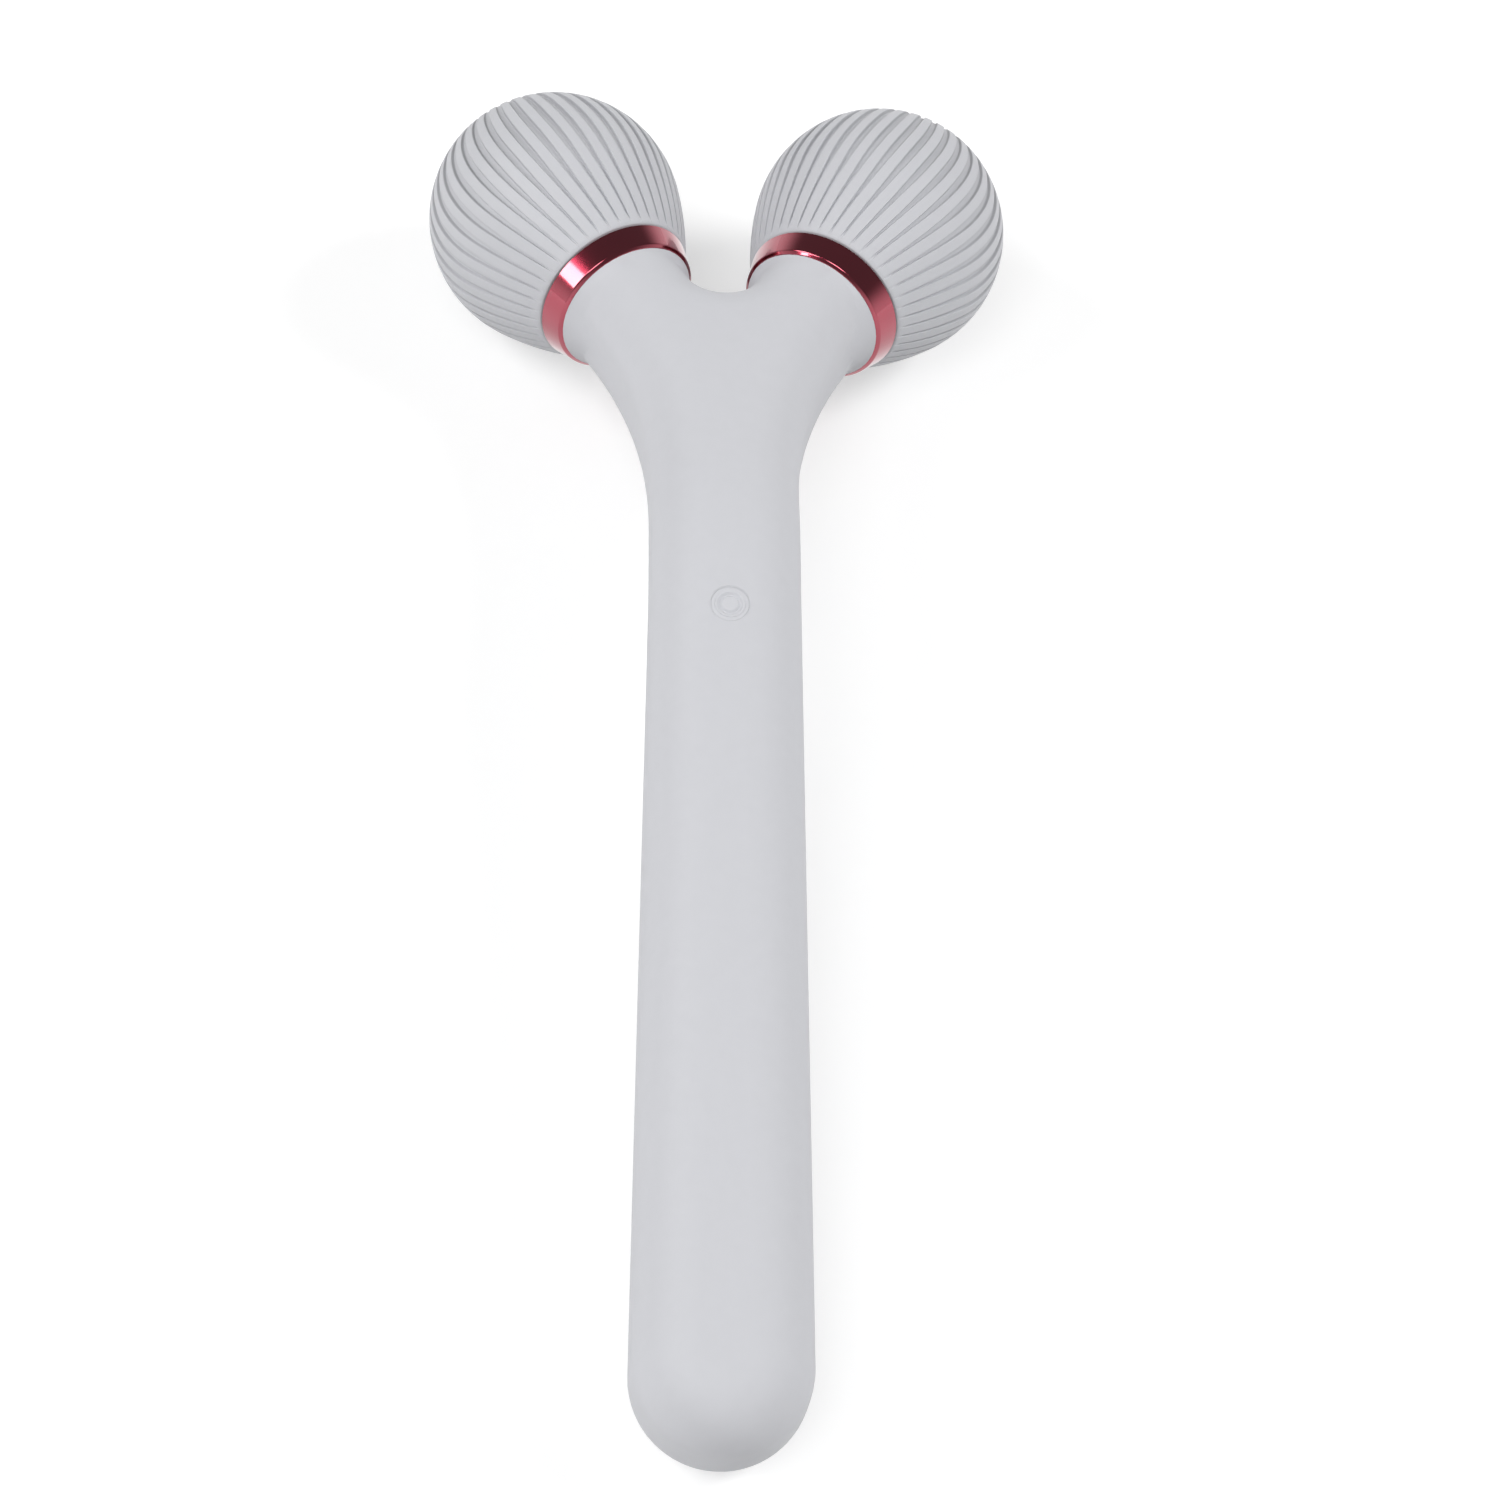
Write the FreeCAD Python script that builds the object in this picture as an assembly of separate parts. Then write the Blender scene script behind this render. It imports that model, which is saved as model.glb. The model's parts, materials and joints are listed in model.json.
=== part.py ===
"""Sonic facial roller: a bent, forked handle with two ribbed rollers that spin on fixed axles."""
import FreeCAD, Part
import math
import os

Vector = FreeCAD.Vector
Placement = FreeCAD.Placement
Rotation = FreeCAD.Rotation

# Handle and fork, outer form
handle_length = 101.9       # bend corner to the tip of the handle
wrist_half_width = 8.25     # narrowest place, beside the bend
end_radius = 9.2            # round end in plan
body_thickness = 16.8       # front face to back face
edge_round = 6.7            # roll of the long edges
roll_share = 0.99           # of the slimmest half-width, the most that an edge may roll
bend_radius = 50.0          # middle surface between handle and fork
head_tilt = 14.7            # degrees, fork plane below the handle plane
neck_half_width = 6.8       # each fork arm behind its bell
neck_splay = 29.7           # degrees, each arm from the middle line
flare_share = 0.867         # of an arm's outer flank that curves out of the wrist
wrist_share = 0.98          # of the way from the bend to the arm that the curve may take
crotch_radius = 3.3         # bottom of the gap between the arms
bell_rim_radius = 8.5       # round rim that carries the ring
bell_length = 6.0           # rim to the place where the bell leaves the arm
bell_tuck = 0.2             # foot of the bell inside the arm's flanks

# Layers and fits of the housing
skin_wall = 1.2             # soft outer skin
chassis_wall = 1.5          # rigid shell below the skin
fit_gap = 0.1               # loose fit of an inner piece
press_gap = 0.02            # tight fit of a pressed piece
overrun = 3.0               # how far a cutting shape runs past what it cuts
same_place = 0.01           # two points closer than this are one

# Rollers
ball_radius = 15.0
ball_side = 19.33           # ball centre from the middle plane
ball_reach = 54.83          # ball centre past the bend corner, in the fork plane
fairing_radius = 45.0       # swell from the ball down to its ring
skirt_radius = 9.75         # open end of the ball, beside the ring
cover_wall = 1.7            # soft ribbed cover
core_wall = 1.6             # rigid core below the cover
core_hub_radius = 4.8
core_web_height = 5.0       # closed end of the core, past the ball's centre
axle_bore_radius = 2.5      # core between its bushes
bond_gap = 0.05             # glue line between cover and core
pole_cap_radius = 5.4
pole_cap_stem = 1.2

# Swirled grooves of a roller
rib_count = 44
groove_share = 0.36         # of the pitch
groove_depth = 0.22
groove_lift_share = 0.1     # of the depth, by which a groove runs out above the surface
groove_stations = 11
swirl_straight = 85.0       # degrees from the pole where a groove runs along the axis
swirl_span = 55.0           # degrees from there to either end of a groove
swirl_ring = 6.0            # degrees that a groove turns towards the ring
swirl_pole = 14.0           # degrees that a groove turns towards the pole
fade_pole_shares = (0.91, 0.74)   # of the ball's radius, where a groove starts and is full
fade_ring_shares = (0.62, 0.985)  # of the way to the skirt, where it is last full and has gone

# Rings and hubs on the arms
ring_reach = 14.29          # ball centre to the ring's near edge
ring_width = 2.86
ring_neck_radius = 8.82
ring_ball_radius = 9.72
ring_bevel = 0.3
ring_wall = 1.6
ring_web = 0.8
running_gap = 0.25          # ring to spinning ball, along the axle
hub_flange_radius = 7.3
hub_flange = 0.9
hub_spigot = 6.0

# Axles and their bushes
axle_radius = 2.0
axle_clearance = 0.05
axle_head_radius = 3.0
axle_head = 1.0
axle_tail = 1.0             # axle past its clip
axle_end_gap = 0.4          # axle to the stem of the pole cap
bush_radius = 3.2
bush_length = 5.0
bush_flange_radius = 4.2
bush_flange = 0.6
washer_radius = 4.4
washer_wall = 0.5
thrust_gap = 0.12           # end play on each side of the bushes
clip_radius = 3.4
clip_wall = 0.6
clip_groove_radius = 1.5
clip_mouth = 2.4

# Button and its switch
button_from_bend = 10.5
button_radius = 2.05
button_gap = 0.15
button_depth = 3.0
button_travel = 0.35
emblem_radius = 1.3
emblem_width = 0.32
emblem_height = 0.12
plunger_radius = 1.0
plunger_length = 0.8
switch_side = 3.6
switch_height = 1.75

# Battery, circuit board and charging contacts
battery_side_gap = 0.55     # cell to the cavity at the wrist
battery_from_socket = 3.4   # leaves room for a cell 44 long
battery_tray_drop = 0.6     # top of the tray below the battery's axis
battery_tab_radius = 3.0
battery_tab_wall = 0.3
board_side_gap = 0.65       # board to the cavity at the wrist
board_length = 27.0
board_wall = 1.0
board_from_battery = 3.0
board_past_button = 2.0
tray_wall = 1.6
driver_side = 4.0
driver_height = 1.0
driver_from_switch = 9.0
regulator_side = 3.0
regulator_height = 0.9
regulator_from_switch = 15.0
socket_from_tip = 12.6
socket_radius = 3.2
socket_sink = 0.4           # flat seat below the back face
contact_radius = 0.6
contact_spacing = 3.0
contact_sink = 0.1          # contacts below the seat
contact_tail = 1.0

# Vibration motor in the fork
motor_side_gap = 1.05       # motor to the cavity at the wrist
motor_from_bend = 9.0
motor_from_crotch = 7.0     # end of the shaft to the cavity's end between the arms
motor_bearing_depth = 4.0
shaft_radius = 0.75
shaft_gap = 0.05
shaft_length = 5.4          # shaft outside the motor
cradle_margin = 1.5
weight_radius = 3.6
weight_hub_radius = 1.6
weight_length = 3.6
weight_from_motor = 1.2

# Places worked out from the sizes above
tilt = math.radians(head_tilt)
splay = math.radians(neck_splay)
half_thickness = body_thickness / 2
edge_roll = min(edge_round, roll_share * min(neck_half_width, wrist_half_width, half_thickness))
cavity_inset = skin_wall + chassis_wall
wrist_cavity = wrist_half_width - cavity_inset
slim_cavity = min(wrist_half_width, half_thickness) - cavity_inset
battery_radius = slim_cavity - battery_side_gap
board_half_width = wrist_cavity - board_side_gap
motor_radius = slim_cavity - motor_side_gap
bend_tangent = bend_radius * math.tan(tilt / 2)
end_centre = end_radius - handle_length
neck_end = ring_reach + ring_width
skirt_end = ring_reach - running_gap
hub_spigot_radius = neck_half_width - cavity_inset - fit_gap
along_neck = Vector(math.sin(splay), math.cos(splay), 0)
across_neck = Vector(math.cos(splay), -math.sin(splay), 0)
ball_centre = Vector(ball_side, ball_reach, 0)
neck_centre = ball_centre - along_neck * neck_end
neck_outer = neck_centre + across_neck * neck_half_width
arm_flank = (neck_outer.x - wrist_half_width) / math.sin(splay)
arm_corner = neck_outer.y - arm_flank * math.cos(splay)
flare_reach = min(flare_share * arm_flank, wrist_share * (arm_corner - bend_tangent))
flare_radius = flare_reach / math.tan(splay / 2)
flare_start = arm_corner - flare_reach
neck_root = ball_reach - ball_side / math.tan(splay)
crotch_centre = Vector(0, neck_root + (neck_half_width + crotch_radius) / math.sin(splay), 0)
motor_front = crotch_centre.y - crotch_radius - cavity_inset - motor_from_crotch - shaft_length

fork_place = Placement(Vector(), Rotation(Vector(1, 0, 0), -head_tilt))
roller_turn = Placement(ball_centre, Rotation(Vector(0, 0, 1), -neck_splay))
roller_upright = Placement(Vector(), Rotation(Vector(1, 0, 0), -90))
roller_place = fork_place.multiply(roller_turn).multiply(roller_upright)


def line(start, end):
    """Straight edge between two points."""
    return Part.LineSegment(start, end).toShape()


def arc(start, through, end):
    """Circular edge through three points."""
    return Part.Arc(start, through, end).toShape()


def placed(shape, place):
    """Copy of a shape moved by a placement."""
    moved = shape.copy()
    moved.Placement = place.multiply(moved.Placement)
    return moved


def flipped(point):
    """The same point on the other side of the middle plane."""
    return Vector(-point.x, point.y, point.z)


def other_side(shape):
    """Mirror image of a right-hand piece."""
    return shape.mirror(Vector(), Vector(1, 0, 0))


def turned(points):
    """Solid of revolution about the Z axis from (radius, height) corners."""
    corners = [Vector(radius, 0, height) for radius, height in points]
    outline = Part.makePolygon(corners + corners[:1])
    return Part.Face(outline).revolve(Vector(), Vector(0, 0, 1), 360)


def tube(outer, inner, low, high):
    """Plain ring about the Z axis."""
    return turned([(inner, low), (outer, low), (outer, high), (inner, high)])


def rod(radius, low, high):
    """Plain cylinder about the Z axis."""
    return Part.makeCylinder(radius, high - low, Vector(0, 0, low))


def block(half_width, back, front, low, high):
    """Box that is centred on the middle plane."""
    return Part.makeBox(2 * half_width, front - back, high - low, Vector(-half_width, back, low))


def rolled_slab(edges, open_middles, inset):
    """Plan outline thickened to both sides of its plane, with its long edges rolled over."""
    half = half_thickness - inset
    face = Part.Face(Part.Wire(edges)).translated(Vector(0, 0, -half))
    slab = face.extrude(Vector(0, 0, 2 * half))
    rolled = []
    for edge in slab.Edges:
        middle = edge.CenterOfMass
        level = abs(abs(middle.z) - half) < same_place
        flat = Vector(middle.x, middle.y, 0)
        if level and all(flat.distanceToPoint(place) > same_place for place in open_middles):
            rolled.append(edge)
    return slab.makeFillet(edge_roll - inset, rolled)


def grip_section(half_width, inset, place):
    """Rounded section of the handle, square to its length."""
    roll = edge_roll - inset
    side = half_width - edge_roll
    rise = half_thickness - edge_roll
    diagonal = roll * math.sqrt(0.5)
    edges = []
    for index, (sx, sz) in enumerate([(1, 1), (-1, 1), (-1, -1), (1, -1)]):
        centre = Vector(sx * side, place, sz * rise)
        beside = centre + Vector(sx * roll, 0, 0)
        above = centre + Vector(0, 0, sz * roll)
        corner = centre + Vector(sx * diagonal, 0, sz * diagonal)
        first, last = (beside, above) if index % 2 == 0 else (above, beside)
        if edges:
            edges.append(line(edges[-1].Vertexes[-1].Point, first))
        edges.append(arc(first, corner, last))
    edges.append(line(edges[-1].Vertexes[-1].Point, edges[0].Vertexes[0].Point))
    return Part.Wire(edges)


def right_half(half_width, inset, place):
    """Right-hand half of the handle's section, as a face."""
    reach = end_radius + overrun
    keep = block(reach, place - overrun, place + overrun, -body_thickness, body_thickness)
    return Part.Face(grip_section(half_width, inset, place)).common(keep.translated(Vector(reach, 0, 0)))


def handle_piece(inset):
    """Handle that widens from the wrist: a half run out at a slant, its mirror image and the wedge between."""
    spread = end_radius - wrist_half_width
    half = half_thickness - inset
    run = Vector(spread, end_centre + bend_tangent, 0)
    side = right_half(wrist_half_width, inset, -bend_tangent).extrude(run)
    root = Vector(0, -bend_tangent, -half)
    corners = [root, root + run, root + flipped(run)]
    wedge = Part.Face(Part.makePolygon(corners + corners[:1])).extrude(Vector(0, 0, 2 * half))
    return wedge.multiFuse([side, other_side(side)])


def end_piece(inset):
    """Round end of the handle, half of its last section turned about an upright axis."""
    return right_half(end_radius, inset, end_centre).revolve(Vector(0, end_centre, 0), Vector(0, 0, 1), -180)


def bend_piece(inset):
    """Wrist section carried through the tilt of the fork."""
    section = Part.Face(grip_section(wrist_half_width, inset, -bend_tangent))
    return section.revolve(Vector(0, -bend_tangent, -bend_radius), Vector(-1, 0, 0), head_tilt)


def fork_piece(inset):
    """Flare and both arms, in the fork's own plane, cut square at the ring seats."""
    half = wrist_half_width - inset
    flare = flare_radius + inset
    neck = neck_half_width - inset
    crotch = crotch_radius + inset
    flare_centre = Vector(wrist_half_width + flare_radius, flare_start, 0)
    root = Vector(half, bend_tangent, 0)
    rise = Vector(half, flare_start, 0)
    middle = flare_centre + Vector(-math.cos(splay / 2), math.sin(splay / 2), 0) * flare
    shoulder = flare_centre - across_neck * flare
    outer = neck_centre + across_neck * neck
    inner = neck_centre - across_neck * neck
    saddle = crotch_centre + across_neck * crotch
    bottom = crotch_centre - Vector(0, crotch, 0)
    edges = [
        line(flipped(root), root),
        line(root, rise),
        arc(rise, middle, shoulder),
        line(shoulder, outer),
        line(outer, inner),
        line(inner, saddle),
        arc(saddle, bottom, flipped(saddle)),
        line(flipped(saddle), flipped(inner)),
        line(flipped(inner), flipped(outer)),
        line(flipped(outer), flipped(shoulder)),
        arc(flipped(shoulder), flipped(middle), flipped(rise)),
        line(flipped(rise), flipped(root)),
    ]
    open_middles = [Vector(0, bend_tangent, 0), neck_centre, flipped(neck_centre)]
    return placed(rolled_slab(edges, open_middles, inset), fork_place)


def bell_piece(inset):
    """Round flare of the right arm out to its ring, turned about the axle."""
    foot = neck_half_width - bell_tuck
    spread = bell_rim_radius - foot
    curve = (bell_length ** 2 + spread ** 2) / (2 * spread)
    stations = []
    for height in (0, bell_length / 2, bell_length):
        radius = foot + curve - math.sqrt((curve + inset) ** 2 - height ** 2)
        stations.append(Vector(radius, 0, height - neck_end - bell_length))
    base = Vector(0, 0, stations[0].z)
    rim = Vector(0, 0, stations[-1].z)
    edges = [line(base, stations[0]), arc(*stations), line(stations[-1], rim), line(rim, base)]
    solid = Part.Face(Part.Wire(edges)).revolve(Vector(), Vector(0, 0, 1), 360)
    return placed(solid, roller_place)


def housing(inset):
    """Whole forked body, drawn in by an even inset."""
    bell = bell_piece(inset)
    pieces = [end_piece(inset), bend_piece(inset), fork_piece(inset), bell, other_side(bell)]
    return handle_piece(inset).multiFuse(pieces).removeSplitter()


def front_half():
    """Everything in front of the middle surface of handle and fork."""
    back = -handle_length - overrun
    far = ball_reach + ball_radius
    drop = -far * math.tan(tilt)
    height = body_thickness
    corners = [
        Vector(0, back, 0),
        Vector(0, 0, 0),
        Vector(0, far, drop),
        Vector(0, far, height),
        Vector(0, back, height),
    ]
    half_width = ball_side + ball_radius
    side = Part.Face(Part.makePolygon(corners + corners[:1])).translated(Vector(-half_width, 0, 0))
    return side.extrude(Vector(2 * half_width, 0, 0))


# Profile of a roller: ball, then a swell that touches it and comes down to the skirt
swell_offset = fairing_radius - ball_radius
skirt_corner = math.hypot(skirt_end, skirt_radius)
swell_reach = (fairing_radius ** 2 - swell_offset ** 2 - skirt_corner ** 2) / (2 * swell_offset)
swell_angle = math.pi - math.atan2(skirt_radius, skirt_end) - math.acos(swell_reach / skirt_corner)
swell_side = -swell_offset * math.sin(swell_angle)
swell_height = -swell_offset * math.cos(swell_angle)


def on_ball(angle, inset):
    """Radius and height on the ball at an angle from its pole."""
    radius = ball_radius - inset
    return radius * math.sin(angle), radius * math.cos(angle)


def on_swell(height, inset):
    """Radius of the swell at a height below the ball's centre."""
    radius = fairing_radius - inset
    return swell_side + math.sqrt(radius ** 2 - (height - swell_height) ** 2)


def roller_solid(inset):
    """Solid roller drawn in by an even inset, open end cut square."""
    pole = Vector(0, 0, ball_radius - inset)
    touch = Vector(on_ball(swell_angle, inset)[0], 0, on_ball(swell_angle, inset)[1])
    shoulder = Vector(on_ball(swell_angle / 2, inset)[0], 0, on_ball(swell_angle / 2, inset)[1])
    skirt = Vector(on_swell(-skirt_end, inset), 0, -skirt_end)
    half_way = (touch.z + skirt.z) / 2
    flank = Vector(on_swell(half_way, inset), 0, half_way)
    foot = Vector(0, 0, -skirt_end)
    edges = [line(foot, pole), arc(pole, shoulder, touch), arc(touch, flank, skirt), line(skirt, foot)]
    return Part.Face(Part.Wire(edges)).revolve(Vector(), Vector(0, 0, 1), 360)


def eased(value, start, end):
    """Smooth step from 0 at the start to 1 at the end."""
    share = min(max((value - start) / (end - start), 0), 1)
    return share * share * (3 - 2 * share)


def groove_turn(angle):
    """Degrees that a groove has swung round at an angle from the pole."""
    away = (angle - swirl_straight) / swirl_span
    return (swirl_ring if away > 0 else swirl_pole) * away ** 2


def on_roller(height):
    """Radius at a height on the roller, and the outward direction there as radial and axial parts."""
    if height > ball_radius * math.cos(swell_angle):
        radius = math.sqrt(ball_radius ** 2 - height ** 2)
        return radius, radius / ball_radius, height / ball_radius
    radius = on_swell(height, 0)
    return radius, (radius - swell_side) / fairing_radius, (height - swell_height) / fairing_radius


def groove_section(height, depth):
    """V-shaped section of a groove at a height, wide in step with the roller's girth."""
    radius, outward, upward = on_roller(height)
    turn = -groove_turn(math.degrees(math.atan2(radius, height)))
    flank = groove_share * math.pi / rib_count * ball_radius / groove_depth
    tall = 2 * groove_depth * radius / ball_radius
    floor = -depth * radius / ball_radius
    corners = []
    for rise, side in ((floor, 0), (floor + tall, tall * flank), (floor + tall, -tall * flank)):
        corners.append(Vector(radius + outward * rise, side, height + upward * rise))
    section = Part.makePolygon(corners + corners[:1])
    section.rotate(Vector(), Vector(0, 0, 1), turn)
    return section


def groove():
    """Cutter of one groove, from near the pole to near the skirt, rising out of the surface at both ends."""
    pole_start, pole_full = [share * ball_radius for share in fade_pole_shares]
    ring_full, ring_end = [-share * skirt_end for share in fade_ring_shares]
    sections = []
    for station in range(groove_stations):
        height = pole_start + (ring_end - pole_start) * station / (groove_stations - 1)
        sunk = eased(height, pole_start, pole_full) * eased(height, ring_end, ring_full)
        depth = groove_depth * (sunk * (1 + groove_lift_share) - groove_lift_share)
        sections.append(groove_section(height, depth))
    return Part.makeLoft(sections, True, False)


# Stack along a roller's axle, as heights from the ball's centre towards the pole
web_floor = -neck_end
flange_floor = web_floor + ring_web
washer_floor = flange_floor + hub_flange
neck_bush_floor = washer_floor + washer_wall + thrust_gap
core_floor = neck_bush_floor + bush_flange
core_radius = ball_radius - cover_wall - bond_gap
cap_seat = math.sqrt(core_radius ** 2 - pole_cap_radius ** 2)
axle_top = cap_seat - pole_cap_stem - axle_end_gap
clip_top = axle_top - axle_tail
clip_floor = clip_top - clip_wall
tip_bush_top = clip_floor - thrust_gap
tip_flange_floor = tip_bush_top - bush_flange
tip_bore_radius = bush_flange_radius + fit_gap
hub_tail = web_floor - hub_spigot


def trim_ring():
    """Bright conical ring with a bevelled neck edge, cup-shaped inside."""
    cone = (ring_ball_radius - ring_neck_radius) / ring_width
    inner = ring_ball_radius - ring_wall
    bore = hub_spigot_radius + fit_gap
    return turned([
        (bore, web_floor),
        (ring_neck_radius - ring_bevel, web_floor),
        (ring_neck_radius + cone * ring_bevel, web_floor + ring_bevel),
        (ring_ball_radius, -ring_reach),
        (inner, -ring_reach),
        (inner, flange_floor),
        (bore, flange_floor),
    ])


def neck_hub():
    """Flanged plug that closes an arm, holds its ring and carries the axle."""
    bore = axle_radius + press_gap
    return turned([
        (bore, hub_tail),
        (hub_spigot_radius, hub_tail),
        (hub_spigot_radius, flange_floor),
        (hub_flange_radius, flange_floor),
        (hub_flange_radius, washer_floor),
        (bore, washer_floor),
    ])


def axle():
    """Headed pin with a groove for its clip."""
    pin = rod(axle_radius, hub_tail, axle_top).fuse(rod(axle_head_radius, hub_tail - axle_head, hub_tail))
    groove = tube(axle_radius + overrun, clip_groove_radius, clip_floor - press_gap, clip_top + press_gap)
    return pin.cut(groove).removeSplitter()


def axle_clip():
    """Open spring clip in the axle's groove."""
    ring = tube(clip_radius, clip_groove_radius + press_gap, clip_floor, clip_top)
    return ring.cut(block(clip_mouth / 2, 0, clip_radius + overrun, clip_floor - overrun, clip_top + overrun))


def bush(flange_low, flange_high, low, high):
    """Flanged plain bearing on the axle."""
    bore = axle_radius + axle_clearance
    sleeve = tube(bush_radius - press_gap, bore, low, high)
    return sleeve.fuse(tube(bush_flange_radius, bore, flange_low, flange_high)).removeSplitter()


def roller_core():
    """Rigid core: a shell round a hub with seats for two bushes and the pole cap."""
    solid = roller_solid(cover_wall + bond_gap)
    hollow = roller_solid(cover_wall + bond_gap + core_wall)
    hollow = hollow.common(rod(ball_radius, -skirt_end - overrun, core_web_height))
    hollow = hollow.cut(rod(core_hub_radius, -skirt_end - overrun, core_web_height + overrun))
    core = solid.cut(hollow).fuse(rod(core_hub_radius, core_floor, 0))
    core = core.cut(rod(ball_radius, cap_seat, cap_seat + ball_radius))
    core = core.cut(rod(bush_radius, core_floor - overrun, core_floor + bush_length))
    core = core.cut(rod(axle_bore_radius, core_floor, tip_flange_floor))
    core = core.cut(rod(bush_radius, tip_flange_floor - bush_length, tip_flange_floor + overrun))
    core = core.cut(rod(tip_bore_radius, tip_flange_floor, cap_seat + overrun))
    return core.removeSplitter()


def roller_cover():
    """Soft cover over the core, with its ring of swirled grooves."""
    cover = roller_solid(0).cut(roller_solid(cover_wall)).cut(rod(pole_cap_radius, 0, ball_radius + overrun))
    cutter = groove()
    grooves = []
    for step in range(rib_count):
        turned_cutter = cutter.copy()
        turned_cutter.rotate(Vector(), Vector(0, 0, 1), 360 * (step + 0.5) / rib_count)
        grooves.append(turned_cutter)
    return cover.cut(grooves)


def pole_cap():
    """Smooth cap, flush with the cover, that closes the axle's end."""
    column = rod(pole_cap_radius - fit_gap, cap_seat, ball_radius + overrun)
    dome = Part.makeSphere(ball_radius).common(column)
    return dome.fuse(rod(tip_bore_radius - fit_gap, cap_seat - pole_cap_stem, cap_seat)).removeSplitter()


def roller_pieces():
    """Pieces of the right-hand arm and roller, by name."""
    pieces = {
        "trim_ring": trim_ring(),
        "neck_hub": neck_hub(),
        "axle": axle(),
        "thrust_washer": tube(washer_radius, axle_radius + fit_gap, washer_floor, washer_floor + washer_wall),
        "axle_clip": axle_clip(),
        "neck_bush": bush(neck_bush_floor, core_floor, core_floor, core_floor + bush_length),
        "tip_bush": bush(tip_flange_floor, tip_bush_top, tip_flange_floor - bush_length, tip_flange_floor),
        "roller_core": roller_core(),
        "roller_cover": roller_cover(),
        "pole_cap": pole_cap(),
    }
    return {name: placed(piece, roller_place) for name, piece in pieces.items()}


# Heights of the button's stack above the handle's middle plane
cavity_half = half_thickness - cavity_inset
button_floor = half_thickness - button_depth
plunger_floor = button_floor - plunger_length
switch_top = plunger_floor - button_travel - press_gap
board_top = switch_top - switch_height
board_floor = board_top - board_wall
button_centre = Vector(0, -button_from_bend, 0)
socket_centre = Vector(0, socket_from_tip - handle_length, 0)
socket_face = socket_sink - half_thickness
board_front = board_past_button - button_from_bend
board_back = board_front - board_length
battery_front = board_back - board_from_battery
battery_back = socket_centre.y + socket_radius + battery_from_socket


def button_cap(outer_body):
    """Round soft button, flush with the skin, with a plain raised ring."""
    top = half_thickness + overrun
    cap = rod(button_radius, button_floor, top).translated(button_centre).common(outer_body)
    ring = tube(emblem_radius, emblem_radius - emblem_width, button_floor, top).translated(button_centre)
    return cap.fuse(ring.common(housing(-emblem_height))).removeSplitter()


def on_board(side, height, from_switch):
    """Square component on the circuit board, counted back from the switch."""
    middle = -button_from_bend - from_switch
    return block(side / 2, middle - side / 2, middle + side / 2, board_top, board_top + height)


def along_handle(radius, back, front):
    """Cylinder on the handle's axis."""
    return Part.makeCylinder(radius, front - back, Vector(0, back, 0), Vector(0, 1, 0))


def handle_pieces():
    """Pieces inside and round the handle, by name."""
    outer_body = housing(0)
    shell_body = housing(skin_wall)
    cavity = housing(cavity_inset)
    nest = housing(cavity_inset + fit_gap)
    front = front_half()
    deep = half_thickness + overrun

    button_hole = rod(button_radius + button_gap, 0, deep).translated(button_centre)
    socket_hole = rod(socket_radius, -deep, 0).translated(socket_centre)
    skin = outer_body.cut(shell_body).cut(button_hole).cut(socket_hole)
    chassis = shell_body.cut(cavity)
    chassis_front = chassis.common(front).cut(button_hole)
    chassis_rear = chassis.cut(front).cut(socket_hole)

    contacts = []
    bores = []
    for side in (-contact_spacing / 2, contact_spacing / 2):
        place = socket_centre + Vector(side, 0, 0)
        contact = rod(contact_radius, socket_face + contact_sink, contact_tail - cavity_half)
        contacts.append(contact.translated(place))
        bores.append(rod(contact_radius + press_gap, -deep, 0).translated(place))
    socket = rod(socket_radius - press_gap, socket_face, 0).translated(socket_centre)
    socket = socket.cut(cavity).cut(Part.makeCompound(bores))

    battery_tray = nest.common(block(body_thickness, battery_back, battery_front, -deep, -battery_tray_drop))
    cradle = along_handle(battery_radius + press_gap, battery_back - overrun, battery_front + overrun)
    battery_tray = battery_tray.cut(cradle)
    back_tab = along_handle(battery_tab_radius, battery_back - battery_tab_wall, battery_back)
    front_tab = along_handle(battery_tab_radius, battery_front, battery_front + battery_tab_wall)

    board_tray = nest.common(block(body_thickness, board_back, board_front, -deep, board_floor))
    pocket_half = board_half_width - tray_wall
    pocket_floor = tray_wall - cavity_half
    pocket_top = board_floor + overrun
    pocket = block(pocket_half, board_back + tray_wall, board_front - tray_wall, pocket_floor, pocket_top)

    return {
        "handle_skin": skin,
        "chassis_front": chassis_front,
        "chassis_rear": chassis_rear,
        "button_cap": button_cap(outer_body),
        "button_plunger": rod(plunger_radius, plunger_floor, button_floor).translated(button_centre),
        "tact_switch": on_board(switch_side, switch_height, 0),
        "driver_chip": on_board(driver_side, driver_height, driver_from_switch),
        "charge_chip": on_board(regulator_side, regulator_height, regulator_from_switch),
        "circuit_board": block(board_half_width, board_back, board_front, board_floor, board_top),
        "board_tray": board_tray.cut(pocket),
        "battery": along_handle(battery_radius, battery_back, battery_front),
        "battery_tabs": Part.makeCompound([back_tab, front_tab]),
        "battery_tray": battery_tray,
        "charge_socket": socket,
        "charge_contacts": Part.makeCompound(contacts),
        **motor_pieces(nest),
    }


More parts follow.
